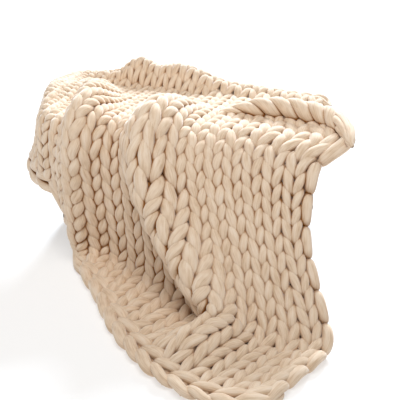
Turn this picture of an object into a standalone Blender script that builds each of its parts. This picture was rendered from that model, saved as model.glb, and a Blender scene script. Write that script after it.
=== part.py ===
"""Knit throw blanket over a bench. Metres, +Z up, origin on the floor under the middle of the bench.

The throw is one thick sheet of chunky stockinette. Its shape is worked out from five lines across it (hem, foot,
hang, edge, back), a row for each measured wale, and from tables of the folds that stand proud of it.
"Right" is +X, "back" is +Y, and both are measured from DATUM, a point on the bench's front face.
"""
import math

import bmesh
import bpy
import numpy as np

# Bench
BENCH_LENGTH = 0.96
BENCH_DEPTH = 0.62
BENCH_TOP = 0.470
BENCH_LEFT = -0.68          # left end, right of the datum
CUSHION_HEIGHT = 0.12
CUSHION_ROUND = 0.07        # rounding of the upholstered top edge
PLINTH_HEIGHT = 0.05
PLINTH_INSET = 0.045
BODY_INSET = 0.006
ROUND_END = BENCH_DEPTH / 2 - 0.001   # the left end is a half circle in plan
SQUARE_END = 0.08           # corner radius at the right end
SEAT_GAP = 0.0003           # between pieces that touch

# Throw
WALES = 18
COURSES = 27
THICKNESS = 0.034
GRID_ACROSS = 54            # cells of the solid's surface across the wales
GRID_ALONG = 48             # and along the courses
REST_GAP = 0.0005           # between the bench and the cloth on it
EDGE_CLEARANCE = 0.005      # between the cloth and the bench's sides and rounded edge
ON_FLOOR = THICKNESS / 2
ON_BENCH = BENCH_TOP + REST_GAP + THICKNESS / 2
TURN_FOOT, TURN_HANG, TURN_EDGE = 0.07, 0.14, 0.11   # how far each rounded turn reaches along the cloth
SMOOTHING_PASSES = 3

DATUM = (-(BENCH_LEFT + BENCH_LENGTH / 2), -BENCH_DEPTH / 2)


def table(columns, *rows):
    """Rows of numbers under named columns; the first column is the one the others are read along."""
    names = columns.split()
    return {name: np.array([row[i] for row in rows], float) for i, name in enumerate(names)}


HEM = table(
    "wale right back up",
    (0, -0.77, 0.22, 0.26),
    (1.2, -0.745, 0.15, 0.245),
    (2, -0.69, 0.08, 0.235),
    (3, -0.615, 0.01, 0.235),
    (3.8, -0.54, -0.03, 0.225),
    (4.4, -0.485, -0.03, 0.12),
    (5, -0.45, -0.085, ON_FLOOR),
    (6, -0.39, -0.176, ON_FLOOR),
    (8, -0.255, -0.335, ON_FLOOR),
    (10, -0.14, -0.485, ON_FLOOR),
    (12, -0.015, -0.605, ON_FLOOR),
    (14, 0.105, -0.685, ON_FLOOR),
    (16, 0.235, -0.725, ON_FLOOR),
    (17, 0.305, -0.715, ON_FLOOR),
    (18, 0.38, -0.665, ON_FLOOR),
)
FOOT = table(
    "wale right back up",
    (0, -0.765, 0.22, 0.285),
    (1.2, -0.74, 0.15, 0.27),
    (2, -0.685, 0.08, 0.26),
    (3, -0.61, 0.01, 0.26),
    (3.8, -0.535, -0.03, 0.25),
    (4.4, -0.485, -0.025, 0.145),
    (5, -0.455, -0.05, ON_FLOOR),
    (6, -0.41, -0.045, ON_FLOOR),
    (7, -0.35, -0.04, ON_FLOOR),
    (8, -0.27, -0.07, ON_FLOOR),
    (9, -0.16, -0.15, ON_FLOOR),
    (10, -0.02, -0.25, ON_FLOOR),
    (11, 0.08, -0.32, ON_FLOOR),
    (12, 0.15, -0.38, ON_FLOOR),
    (13, 0.21, -0.42, ON_FLOOR),
    (14.5, 0.285, -0.405, ON_FLOOR),
    (16, 0.385, -0.395, ON_FLOOR),
    (17, 0.445, -0.39, ON_FLOOR),
    (18, 0.505, -0.375, ON_FLOOR),
)
HANG = table(
    "wale right back up",
    (0, -0.715, 0.24, 0.37),
    (1.2, -0.695, 0.14, 0.36),
    (2, -0.65, 0.065, 0.36),
    (3, -0.585, -0.01, 0.36),
    (4, -0.53, -0.035, 0.34),
    (5, -0.472, -0.045, 0.26),
    (6, -0.425, -0.045, 0.25),
    (8, -0.29, -0.055, 0.25),
    (10, -0.12, -0.12, 0.25),
    (12, 0.03, -0.17, 0.26),
    (14, 0.15, -0.18, 0.26),
    (16, 0.265, -0.17, 0.26),
    (17.2, 0.325, -0.16, 0.26),
    (18, 0.36, -0.15, 0.26),
)
EDGE = table(
    "wale right back up",
    (0, -0.735, 0.31, 0.51),
    (1.2, -0.68, 0.18, 0.51),
    (2, -0.645, 0.07, ON_BENCH),
    (3, -0.58, -0.005, ON_BENCH),
    (4, -0.525, -0.03, ON_BENCH),
    (5.5, -0.455, -0.035, ON_BENCH),
    (7.5, -0.335, -0.035, ON_BENCH),
    (9.5, -0.21, -0.035, ON_BENCH),
    (11.5, -0.09, -0.035, ON_BENCH),
    (13.5, 0.04, -0.035, ON_BENCH),
    (15.5, 0.18, -0.035, ON_BENCH),
    (17, 0.30, -0.035, ON_BENCH),
    (18, 0.385, -0.04, ON_BENCH),
)
BACK = table(
    "wale right back up",
    (0, -0.765, 0.63, ON_BENCH),
    (4, -0.50, 0.63, ON_BENCH),
    (9, -0.22, 0.61, ON_BENCH),
    (14, 0.10, 0.58, ON_BENCH),
    (18, 0.31, 0.55, ON_BENCH),
)
# How many courses from the hem each wale has reached at its foot and at the bench's edge
COUNT = table(
    "wale foot edge",
    (0, 0.5, 5.0),
    (3, 0.5, 5.5),
    (4, 0.5, 6.5),
    (5, 1.0, 9.5),
    (6, 2.2, 10.5),
    (8, 4.0, 12.0),
    (10, 5.0, 13.5),
    (12, 5.0, 15.0),
    (14, 6.0, 16.5),
    (16, 7.0, 17.5),
    (18, 6.5, 18.0),
)
# Folds that run down the throw: the wale of the crest, its height, and its width on each side in wales
MAIN_FOLD = table(
    "course wale height left right",
    (1.0, 12.8, 0.0, 0.7, 0.9),
    (1.8, 12.8, 0.05, 0.7, 1.0),
    (2.6, 12.9, 0.08, 0.7, 1.1),
    (3.6, 13.0, 0.09, 0.7, 1.2),
    (5.0, 12.9, 0.10, 0.8, 1.2),
    (6.0, 12.5, 0.11, 0.9, 1.1),
    (8.0, 11.45, 0.12, 1.0, 1.1),
    (9.5, 10.7, 0.12, 1.0, 1.1),
    (11.0, 10.1, 0.115, 1.05, 1.1),
    (13.0, 9.9, 0.108, 1.05, 1.1),
    (15.0, 10.0, 0.102, 1.05, 1.2),
    (17.5, 10.2, 0.072, 1.1, 1.2),
    (21.0, 10.4, 0.0, 1.1, 1.2),
)
LEFT_FOLD = table(
    "course wale height left right",
    (0.0, 5.2, 0.0, 0.7, 1.0),
    (1.5, 5.2, 0.025, 0.7, 1.2),
    (4.0, 5.2, 0.042, 0.7, 1.2),
    (8.0, 5.3, 0.052, 0.8, 1.3),
    (10.5, 5.4, 0.075, 1.0, 1.4),
    (12.5, 5.1, 0.092, 1.2, 1.3),
    (14.5, 4.8, 0.092, 1.3, 1.2),
    (17.0, 4.5, 0.052, 1.3, 1.2),
    (20.0, 4.2, 0.0, 1.2, 1.2),
)
# Rolls that lie across the top of the bench: the crest's path, its height and its half width
SELVEDGE_ROLL = table(
    "right back height width",
    (0.455, -0.05, 0.015, 0.040),
    (0.465, 0.03, 0.045, 0.045),
    (0.43, 0.13, 0.060, 0.045),
    (0.36, 0.21, 0.070, 0.045),
    (0.27, 0.245, 0.075, 0.045),
    (0.18, 0.25, 0.070, 0.045),
    (0.08, 0.24, 0.050, 0.045),
    (-0.02, 0.22, 0.020, 0.045),
    (-0.12, 0.20, 0.0, 0.050),
)
BACK_ROLL = table(
    "right back height width",
    (-0.55, 0.42, 0.0, 0.060),
    (-0.60, 0.34, 0.050, 0.085),
    (-0.64, 0.30, 0.042, 0.085),
    (-0.69, 0.34, 0.018, 0.085),
    (-0.73, 0.44, 0.020, 0.070),
    (-0.71, 0.53, 0.034, 0.060),
    (-0.62, 0.56, 0.042, 0.050),
    (-0.53, 0.56, 0.060, 0.045),
    (-0.465, 0.565, 0.135, 0.045),
    (-0.38, 0.55, 0.095, 0.045),
    (-0.28, 0.54, 0.118, 0.050),
    (-0.21, 0.53, 0.098, 0.050),
    (-0.10, 0.52, 0.055, 0.045),
    (0.0, 0.52, 0.045, 0.045),
    (0.12, 0.52, 0.030, 0.045),
    (0.28, 0.51, 0.020, 0.045),
)
# The corner that juts out past the front edge on the right
EAR_COURSE, EAR_BELOW, EAR_ABOVE = 19.0, 1.0, 2.4
EAR_WALES = 4.5
EAR_REACH = 0.095


def read(rows, columns, at):
    """A smooth curve through the rows of a table, one value for each named column."""
    names = list(rows)
    x = rows[names[0]]
    at = np.clip(np.asarray(at, float), x[0], x[-1])
    i = np.clip(np.searchsorted(x, at, side="right") - 1, 0, len(x) - 2)
    h = x[i + 1] - x[i]
    s = (at - x[i]) / h
    out = []
    for name in columns.split():
        v = rows[name]
        slope = np.gradient(v, x)
        start = (2 * s**3 - 3 * s**2 + 1) * v[i] + (s**3 - 2 * s**2 + s) * h * slope[i]
        end = (3 * s**2 - 2 * s**3) * v[i + 1] + (s**3 - s**2) * h * slope[i + 1]
        out.append(start + end)
    return np.stack(out, axis=-1)


def rounded_run(corners, reach, steps=24):
    """Straight runs between the corners with a rounded turn at each. Returns points and each turn's middle index."""
    s = np.linspace(0, 1, steps)[:, None]
    start = corners[0]
    runs = []
    middles = []
    done = 0
    for k in range(1, len(corners) - 1):
        turn = corners[k]
        before = corners[k - 1] - turn
        after = corners[k + 1] - turn
        size_before = max(np.linalg.norm(before), 1e-9)
        size_after = max(np.linalg.norm(after), 1e-9)
        cut = min(reach[k - 1], 0.48 * size_before, 0.48 * size_after)
        enter = turn + before / size_before * cut
        leave = turn + after / size_after * cut
        runs.append((start + (enter - start) * s)[:-1])
        runs.append(((1 - s) ** 2 * enter + 2 * s * (1 - s) * turn + s**2 * leave)[:-1])
        middles.append(done + (steps - 1) + (steps - 1) // 2)
        done += 2 * (steps - 1)
        start = leave
    runs.append(start + (corners[-1] - start) * s)
    return np.concatenate(runs), middles


def smooth_drape(wales, courses):
    """The throw without its folds: points at each wale and course."""
    lines = [read(rows, "right back up", wales) for rows in (HEM, FOOT, HANG, EDGE, BACK)]
    count = read(COUNT, "foot edge", wales)
    points = np.zeros((len(wales), len(courses), 3))
    for i in range(len(wales)):
        run, middles = rounded_run([line[i] for line in lines], (TURN_FOOT, TURN_HANG, TURN_EDGE))
        steps = np.linalg.norm(np.diff(run, axis=0), axis=1)
        along = np.concatenate([[0.0], np.cumsum(steps)])
        known_courses = [0, count[i, 0], count[i, 1], COURSES]
        known_lengths = [0, along[middles[0]], along[middles[2]], along[-1]]
        at = np.interp(courses, known_courses, known_lengths)
        for axis in range(3):
            points[i, :, axis] = np.interp(at, along, run[:, axis])
    return points


def fold_height(rows, wales, courses):
    """Height of a fold over the smooth drape: steep on its left, rounder on its right."""
    crest, height, left, right = np.moveaxis(read(rows, "wale height left right", courses), -1, 0)
    off = wales[:, None] - crest[None, :]
    steep = np.exp(-np.abs(off / left) ** 3)
    easy = np.exp(-((off / right) ** 2))
    return np.maximum(height, 0) * np.where(off < 0, steep, easy)


def roll_height(rows, plan):
    """Height of a roll on the bench at plan points, from the distance to the crest's path."""
    path = np.stack([rows["right"], rows["back"]], axis=-1)
    best = np.zeros(plan.shape[:-1])
    for k in range(len(path) - 1):
        step = path[k + 1] - path[k]
        s = np.clip(((plan - path[k]) @ step) / (step @ step), 0, 1)
        away = np.linalg.norm(plan - path[k] - s[..., None] * step, axis=-1)
        height = rows["height"][k] + s * (rows["height"][k + 1] - rows["height"][k])
        width = rows["width"][k] + s * (rows["width"][k + 1] - rows["width"][k])
        best = np.maximum(best, height * np.exp(-((away / width) ** 2)))
    return best


def grid_normals(points):
    normal = np.cross(np.gradient(points, axis=0), np.gradient(points, axis=1))
    return normal / np.maximum(np.linalg.norm(normal, axis=-1, keepdims=True), 1e-9)


def averaged(grid, passes):
    """Each inner value drawn halfway to the mean of its four neighbours; the border keeps its place."""
    grid = grid.copy()
    for _ in range(passes):
        mean = (grid[:-2, 1:-1] + grid[2:, 1:-1] + grid[1:-1, :-2] + grid[1:-1, 2:]) / 4
        grid[1:-1, 1:-1] = (grid[1:-1, 1:-1] + mean) / 2
    return grid


def draped_throw(wales, courses):
    """The middle of the cloth's thickness, with every fold and roll."""
    points = smooth_drape(wales, courses)
    normal = averaged(grid_normals(points), 6)
    normal /= np.linalg.norm(normal, axis=-1, keepdims=True)
    folds = fold_height(MAIN_FOLD, wales, courses) + fold_height(LEFT_FOLD, wales, courses)
    points = points + normal * folds[..., None]
    length = np.where(courses < EAR_COURSE, EAR_BELOW, EAR_ABOVE)
    along = np.exp(-(((courses - EAR_COURSE) / length) ** 2))
    across = np.clip((wales - WALES + EAR_WALES) / EAR_WALES, 0, 1) ** 1.5
    points[..., 0] += EAR_REACH * across[:, None] * along[None, :]
    on_top = np.clip((points[..., 2] - (ON_BENCH - 0.06)) / 0.05, 0, 1)
    plan = points[..., :2]
    rolls = np.maximum(roll_height(SELVEDGE_ROLL, plan), roll_height(BACK_ROLL, plan))
    points[..., 2] += on_top * rolls
    return points


def place(points):
    """From distances right of and behind the datum to world coordinates."""
    return points + np.array([DATUM[0], DATUM[1], 0.0])


def material(name, colour, roughness):
    made = bpy.data.materials.new(name)
    made.use_nodes = True
    shader = made.node_tree.nodes["Principled BSDF"]
    shader.inputs["Base Color"].default_value = (*colour, 1.0)
    shader.inputs["Roughness"].default_value = roughness
    shader.inputs["Metallic"].default_value = 0.0
    return made


def add_object(name, mesh, finish):
    mesh.materials.append(finish)
    made = bpy.data.objects.new(name, mesh)
    bpy.context.scene.collection.objects.link(made)
    return made


def bench_distance(points):
    """Distance from the bench's padded surface, negative inside it."""
    left = BENCH_LEFT + ROUND_END
    right = BENCH_LEFT + BENCH_LENGTH - SQUARE_END
    middle = BENCH_DEPTH / 2
    x, y = points[..., 0], points[..., 1]
    over_y = np.abs(y - middle) - (middle - SQUARE_END)
    over_x = x - right
    square = np.hypot(np.maximum(over_x, 0), np.maximum(over_y, 0)) + np.minimum(np.maximum(over_x, over_y), 0)
    rounded = np.hypot(x - left, y - middle) - ROUND_END
    plan = np.where(x < left, rounded, square - SQUARE_END)
    side = plan + CUSHION_ROUND
    up = points[..., 2] - (BENCH_TOP - CUSHION_ROUND)
    outside = np.hypot(np.maximum(side, 0), np.maximum(up, 0))
    return outside + np.minimum(np.maximum(side, up), 0) - CUSHION_ROUND


def clear_of_bench(points):
    """How far each point has to move so that the cloth lies on the bench and clears its edges."""
    small = 0.0005
    distance = bench_distance(points)
    slope = np.zeros(points.shape)
    for axis in range(3):
        step = np.zeros(3)
        step[axis] = small
        slope[..., axis] = (bench_distance(points + step) - bench_distance(points - step)) / (2 * small)
    slope /= np.maximum(np.linalg.norm(slope, axis=-1, keepdims=True), 1e-9)
    flat = np.clip((slope[..., 2] - 0.9) / 0.099, 0, 1)
    wanted = EDGE_CLEARANCE + (REST_GAP - EDGE_CLEARANCE) * flat
    return slope * np.maximum(wanted - distance, 0)[..., None]


def throw_object():
    """Both faces of the cloth as grids, joined round the border into one closed solid."""
    wales = np.linspace(0, WALES, GRID_ACROSS + 1)
    courses = np.linspace(0, COURSES, GRID_ALONG + 1)
    middle = draped_throw(wales, courses)
    normal = averaged(grid_normals(middle), 4)[1:-1, 1:-1]
    normal = np.pad(normal, ((1, 1), (1, 1), (0, 0)), mode="edge")
    normal /= np.linalg.norm(normal, axis=-1, keepdims=True)
    outer = averaged(middle + normal * THICKNESS / 2, SMOOTHING_PASSES)
    inner = averaged(middle - normal * THICKNESS / 2, SMOOTHING_PASSES)
    for _ in range(2):
        move = clear_of_bench(inner)
        inner += move
        outer += move
    outer[..., 2] = np.maximum(outer[..., 2], 0.0)
    inner[..., 2] = np.maximum(inner[..., 2], 0.0)
    build = bmesh.new()
    faces = []
    for grid in (outer, inner):
        faces.append([[build.verts.new(p) for p in row] for row in place(grid)])
    across, along = middle.shape[:2]
    for side, flip in ((faces[0], False), (faces[1], True)):
        for i in range(across - 1):
            for j in range(along - 1):
                ring = [side[i][j], side[i + 1][j], side[i + 1][j + 1], side[i][j + 1]]
                build.faces.new(ring[::-1] if flip else ring)
    border = [(i, 0) for i in range(across - 1)]
    border += [(across - 1, j) for j in range(along - 1)]
    border += [(i, along - 1) for i in range(across - 1, 0, -1)]
    border += [(0, j) for j in range(along - 1, 0, -1)]
    for a, b in zip(border, border[1:] + border[:1]):
        upper_a, upper_b = faces[0][a[0]][a[1]], faces[0][b[0]][b[1]]
        lower_a, lower_b = faces[1][a[0]][a[1]], faces[1][b[0]][b[1]]
        build.faces.new([upper_b, upper_a, lower_a, lower_b])
    bmesh.ops.triangulate(build, faces=build.faces[:])
    mesh = bpy.data.meshes.new("blanket")
    build.to_mesh(mesh)
    build.free()
    return add_object("blanket", mesh, material("cream_knit", (0.66, 0.52, 0.38), 0.9))


def bench_outline(inset, end_steps=20, corner_steps=6):
    """The bench in plan: a half-round left end and small corner radii at the right."""
    left = BENCH_LEFT + inset
    right = BENCH_LEFT + BENCH_LENGTH - inset
    front = inset
    back = BENCH_DEPTH - inset
    corner = SQUARE_END - min(inset, SQUARE_END / 2)
    radius = ROUND_END - inset
    arcs = (
        ((right - corner, front + corner), corner, -90, corner_steps),
        ((right - corner, back - corner), corner, 0, corner_steps),
        ((left + radius, back - radius), radius, 90, end_steps),
        ((left + radius, front + radius), radius, 180, end_steps),
    )
    points = []
    for (cx, cy), size, first, steps in arcs:
        for k in range(steps + 1):
            turn = math.radians(first + 90 * k / steps)
            points.append((cx + size * math.cos(turn), cy + size * math.sin(turn)))
    return points


def stacked_solid(name, levels, finish):
    """A closed solid through the bench's outline at each (inset, height) level."""
    build = bmesh.new()
    rings = []
    for inset, height in levels:
        ring = [build.verts.new((x + DATUM[0], y + DATUM[1], height)) for x, y in bench_outline(inset)]
        rings.append(ring)
    for low, high in zip(rings, rings[1:]):
        for k in range(len(low)):
            n = (k + 1) % len(low)
            build.faces.new([low[k], low[n], high[n], high[k]])
    build.faces.new(rings[0][::-1])
    build.faces.new(rings[-1])
    mesh = bpy.data.meshes.new(name)
    build.to_mesh(mesh)
    build.free()
    return add_object(name, mesh, finish)


def bench_objects():
    seam = BENCH_TOP - CUSHION_HEIGHT
    levels = [(0.0, seam)]
    for k in range(7):
        turn = math.radians(90 * k / 6)
        inset = CUSHION_ROUND * (1 - math.cos(turn))
        levels.append((inset, BENCH_TOP - CUSHION_ROUND + CUSHION_ROUND * math.sin(turn)))
    stacked_solid("bench_cushion", levels, material("bench_cloth", (0.62, 0.56, 0.48), 0.85))
    body = [(BODY_INSET, PLINTH_HEIGHT + SEAT_GAP), (BODY_INSET, seam - SEAT_GAP)]
    stacked_solid("bench_body", body, material("bench_body_cloth", (0.55, 0.49, 0.41), 0.85))
    plinth = [(PLINTH_INSET, 0.0), (PLINTH_INSET, PLINTH_HEIGHT)]
    stacked_solid("bench_plinth", plinth, material("dark_wood", (0.16, 0.10, 0.06), 0.5))


def main():
    for old in list(bpy.data.objects):
        bpy.data.objects.remove(old, do_unlink=True)
    throw_object()
    bench_objects()


main()
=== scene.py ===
"""Looks of the knit throw over its bench: real yarn loops on the drape, soft light and a pale floor.

Metres, +Z up. "Right" is +X and "back" is +Y. The tables hold distances from DATUM, a point on the bench's
front face, and repeat the drape of the solids, so that the knitting lies where the solid cloth does.
"""
import math

import bpy
import numpy as np
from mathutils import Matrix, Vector


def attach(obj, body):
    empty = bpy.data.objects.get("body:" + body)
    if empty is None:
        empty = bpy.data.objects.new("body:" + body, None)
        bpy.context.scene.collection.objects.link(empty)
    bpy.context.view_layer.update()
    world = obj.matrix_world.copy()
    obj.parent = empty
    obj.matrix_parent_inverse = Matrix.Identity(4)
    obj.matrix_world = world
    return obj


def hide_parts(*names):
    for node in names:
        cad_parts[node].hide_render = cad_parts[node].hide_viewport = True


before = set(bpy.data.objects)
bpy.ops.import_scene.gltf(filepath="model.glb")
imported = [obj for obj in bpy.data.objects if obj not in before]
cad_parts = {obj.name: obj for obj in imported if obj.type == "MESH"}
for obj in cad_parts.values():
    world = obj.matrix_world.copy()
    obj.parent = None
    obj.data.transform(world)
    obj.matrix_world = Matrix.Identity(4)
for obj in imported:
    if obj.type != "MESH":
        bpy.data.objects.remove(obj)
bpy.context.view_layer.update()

# Bench
BENCH_LENGTH = 0.96
BENCH_DEPTH = 0.62
BENCH_TOP = 0.470
BENCH_LEFT = -0.68
CUSHION_HEIGHT = 0.12
CUSHION_ROUND = 0.07
PLINTH_HEIGHT = 0.05
BODY_INSET = 0.006
ROUND_END = BENCH_DEPTH / 2 - 0.001
SQUARE_END = 0.08
DATUM = (-(BENCH_LEFT + BENCH_LENGTH / 2), -BENCH_DEPTH / 2)

# Bench covers
COVER_INSET = 0.0025        # how far the covers lie inside the bench's surface, which the piping reaches
COVER_HOLLOW = 0.0012       # how much further in they are between the seams, on top and under the stitches
COVER_SLACK = 0.0011
BOX_SEAM_GAP = 0.0008       # from the box cover to the plinth and to the cushion
PIPING = 0.0048
SIDE_PIPING = 0.0036
PUCKER = 0.0014             # depth of the small gathers along the seams
PUCKER_PITCH = 0.034
STITCH_LENGTH, STITCH_PITCH, STITCH_ROUND = 0.0075, 0.011, 0.0008
COVER_COLOUR, PIPING_COLOUR, THREAD_COLOUR = (0.36, 0.30, 0.24), (0.30, 0.245, 0.19), (0.52, 0.45, 0.37)
WOOD_DARK, WOOD_MIDDLE, WOOD_LIGHT = (0.05, 0.028, 0.015), (0.13, 0.075, 0.042), (0.22, 0.135, 0.08)
WAVES_IN_UNIT = 3.2         # bands in a length of 1 that a wave texture has at a scale of 1

# Throw
WALES = 18
COURSES = 27
THICKNESS = 0.034
REST_GAP = 0.0005
EDGE_CLEARANCE = 0.005
ON_FLOOR = THICKNESS / 2
ON_BENCH = BENCH_TOP + REST_GAP + THICKNESS / 2
TURN_FOOT, TURN_HANG, TURN_EDGE = 0.07, 0.14, 0.11
FLAT_WIDTH, FLAT_LENGTH = 1.17, 1.49

# Yarn
WALE_WIDTH = FLAT_WIDTH / WALES
COURSE_HEIGHT = FLAT_LENGTH / COURSES
YARN_WIDE = 0.0150          # half the strand's width, seen from the front
YARN_DEEP = 0.0118          # half its depth
LOOP_SWAY = 1.32            # how far a loop's legs lean apart, in turns of its path
LOOP_REACH = 0.98           # half the height of a loop, in courses
LOOP_DEPTH = 0.0100         # legs stand this far in front of the middle, arcs as far behind
STEPS_PER_LOOP = 30
SIDES = 14
EDGE_ROOM = 0.45            # wales left for the big loops at each selvedge
CHAIN_ROOM = 0.24           # and for the tips of the hem's chains
LOOP_PLUMP, LOOP_PINCH = 0.85, 0.17   # a loop's thickness and how much that changes along it
UNEVEN_PLUMP, MOST_UNEVEN = 0.06, 0.14
SEED = 7
UNEVEN_HEIGHT = 0.07        # how far a course wanders, in courses
FIRST_COURSE, LAST_COURSE = 1.55, 25.75
BODY_COURSES = 26
COURSES_IN_PIECE = 5
GRID_ACROSS, GRID_ALONG = 54, 48      # the solid cloth's own grid
SMOOTHING_PASSES = 3
NORMAL_PASSES = 6
STRETCHES = (0.7, 1.6), (0.8, 1.15)   # how narrow and wide, and how low and high, a stitch may get
WIDTH_SHARE = 0.7           # how much of its strands' thickness comes from its width
STRAND_CLEARANCE = 0.001    # between the strands and the bench
ABOVE_FLOOR = 0.0004
FIBRE_SHIFT = 0.37          # how far the pattern of the fibre moves on from strand to strand

# Selvedges and chains
SELVEDGE_OUT = 0.24         # how far the big loops bulge past the others, in wales
SELVEDGE_BOW = 0.46         # how far they reach past their own courses, in courses
SELVEDGE_RISE = 1.6         # how far they come forward, in loop depths
SELVEDGE_LEAN = 0.008       # how much deeper their first half lies, and how much further forward the rest
SELVEDGE_THIN, SELVEDGE_SWELL = 0.61, 0.60
CHAIN_COURSE = 0.62         # from the edge of the knitting to its chain, in courses
LINK_WIDTH, LINK_REACH = 1.4, 0.78    # in courses and in wales
LINK_TURN = 0.93            # the share of a loop that a link has
LINK_PLUMP, LINK_PINCH = 0.90, 0.14
UNEVEN_LINK, UNEVEN_ROLL = 0.05, 0.04

# Core: a thin sheet inside the knitting, coloured with painted shade for the holes between stitches
CORE_WALES_IN, CORE_COURSES_IN = 0.35, 0.55     # from the throw's edges
CORE_BEHIND, CORE_LOWEST = 0.003, 0.003

# Tones of the knitting, and the painted shade between its strands, in its folds and on its core
YARN_LIGHT, YARN_MIDDLE, YARN_DARK = (0.84, 0.69, 0.54), (0.78, 0.605, 0.44), (0.64, 0.46, 0.305)
YARN_CREASE_SHADE = (0.32, 0.125, 0.020)       # painted shade down between the strands and near the knit's middle
CREASE_SHADE_ON_FLAT = 0.12                    # the share of that painted shade left where the throw lies flat and light falls in from above
CREASE_SHADE_REACH = 0.013                        # how near another strand is where that painted shade begins
VALLEY_SHADE_REACH = 0.11                         # the same for the painted shade of a whole fold of the throw
# Painted shade multiplied into the yarn where a fold closes it in.
VALLEY_PAINTED_SHADE = (0.94, 0.91, 0.88)
# Painted shade of the core sheet, seen through the holes between stitches.
CORE_SHADE_LIGHT, CORE_SHADE_DARK = (0.20, 0.085, 0.030), (0.11, 0.042, 0.014)
CORE_FLAT = (0.85, 0.60, 0.38)              # where the throw lies flat and more light gets in

# Light and camera
STUDIO_COLOUR, STUDIO_LIGHT = (1.0, 0.99, 0.98), 0.36
FLOOR_COLOUR, FLOOR_GLOW, FLOOR_REACH = (0.45, 0.445, 0.44), 0.56, 20.0
KEY_COLOUR, KEY_POWER, KEY_SOFTNESS = (0.78, 0.88, 1.0), 6.9, 16
KEY_FROM = (-0.08, 1.0, 0.60)
FILL_AT, FILL_TOWARDS = (0.25, -1.2, 3.6), (0.0, -0.6, 0.1)
FILL_WIDE, FILL_POWER = 1.8, 66.0
CAMERA_AT = (0.895, -2.523, 1.20)
CAMERA_YAW, CAMERA_PITCH = 18.0, 22.0
CAMERA_FOCAL_PX = 746.0
IMAGE_PX = 400
SENSOR_WIDTH = 36.0


def table(columns, *rows):
    """Rows of numbers as one array for each named column."""
    names = columns.split()
    return {name: np.array([row[i] for row in rows], float) for i, name in enumerate(names)}


HEM = table(
    "wale right back up",
    (0, -0.77, 0.22, 0.26),
    (1.2, -0.745, 0.15, 0.245),
    (2, -0.69, 0.08, 0.235),
    (3, -0.615, 0.01, 0.235),
    (3.8, -0.54, -0.03, 0.225),
    (4.4, -0.485, -0.03, 0.12),
    (5, -0.45, -0.085, ON_FLOOR),
    (6, -0.39, -0.176, ON_FLOOR),
    (8, -0.255, -0.335, ON_FLOOR),
    (10, -0.14, -0.485, ON_FLOOR),
    (12, -0.015, -0.605, ON_FLOOR),
    (14, 0.105, -0.685, ON_FLOOR),
    (16, 0.235, -0.725, ON_FLOOR),
    (17, 0.305, -0.715, ON_FLOOR),
    (18, 0.38, -0.665, ON_FLOOR),
)
FOOT = table(
    "wale right back up",
    (0, -0.765, 0.22, 0.285),
    (1.2, -0.74, 0.15, 0.27),
    (2, -0.685, 0.08, 0.26),
    (3, -0.61, 0.01, 0.26),
    (3.8, -0.535, -0.03, 0.25),
    (4.4, -0.485, -0.025, 0.145),
    (5, -0.455, -0.05, ON_FLOOR),
    (6, -0.41, -0.045, ON_FLOOR),
    (7, -0.35, -0.04, ON_FLOOR),
    (8, -0.27, -0.07, ON_FLOOR),
    (9, -0.16, -0.15, ON_FLOOR),
    (10, -0.02, -0.25, ON_FLOOR),
    (11, 0.08, -0.32, ON_FLOOR),
    (12, 0.15, -0.38, ON_FLOOR),
    (13, 0.21, -0.42, ON_FLOOR),
    (14.5, 0.285, -0.405, ON_FLOOR),
    (16, 0.385, -0.395, ON_FLOOR),
    (17, 0.445, -0.39, ON_FLOOR),
    (18, 0.505, -0.375, ON_FLOOR),
)
HANG = table(
    "wale right back up",
    (0, -0.715, 0.24, 0.37),
    (1.2, -0.695, 0.14, 0.36),
    (2, -0.65, 0.065, 0.36),
    (3, -0.585, -0.01, 0.36),
    (4, -0.53, -0.035, 0.34),
    (5, -0.472, -0.045, 0.26),
    (6, -0.425, -0.045, 0.25),
    (8, -0.29, -0.055, 0.25),
    (10, -0.12, -0.12, 0.25),
    (12, 0.03, -0.17, 0.26),
    (14, 0.15, -0.18, 0.26),
    (16, 0.265, -0.17, 0.26),
    (17.2, 0.325, -0.16, 0.26),
    (18, 0.36, -0.15, 0.26),
)
EDGE = table(
    "wale right back up",
    (0, -0.735, 0.31, 0.51),
    (1.2, -0.68, 0.18, 0.51),
    (2, -0.645, 0.07, ON_BENCH),
    (3, -0.58, -0.005, ON_BENCH),
    (4, -0.525, -0.03, ON_BENCH),
    (5.5, -0.455, -0.035, ON_BENCH),
    (7.5, -0.335, -0.035, ON_BENCH),
    (9.5, -0.21, -0.035, ON_BENCH),
    (11.5, -0.09, -0.035, ON_BENCH),
    (13.5, 0.04, -0.035, ON_BENCH),
    (15.5, 0.18, -0.035, ON_BENCH),
    (17, 0.30, -0.035, ON_BENCH),
    (18, 0.385, -0.04, ON_BENCH),
)
BACK = table(
    "wale right back up",
    (0, -0.765, 0.63, ON_BENCH),
    (4, -0.50, 0.63, ON_BENCH),
    (9, -0.22, 0.61, ON_BENCH),
    (14, 0.10, 0.58, ON_BENCH),
    (18, 0.31, 0.55, ON_BENCH),
)
COUNT = table(
    "wale foot edge",
    (0, 0.5, 5.0),
    (3, 0.5, 5.5),
    (4, 0.5, 6.5),
    (5, 1.0, 9.5),
    (6, 2.2, 10.5),
    (8, 4.0, 12.0),
    (10, 5.0, 13.5),
    (12, 5.0, 15.0),
    (14, 6.0, 16.5),
    (16, 7.0, 17.5),
    (18, 6.5, 18.0),
)
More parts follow.
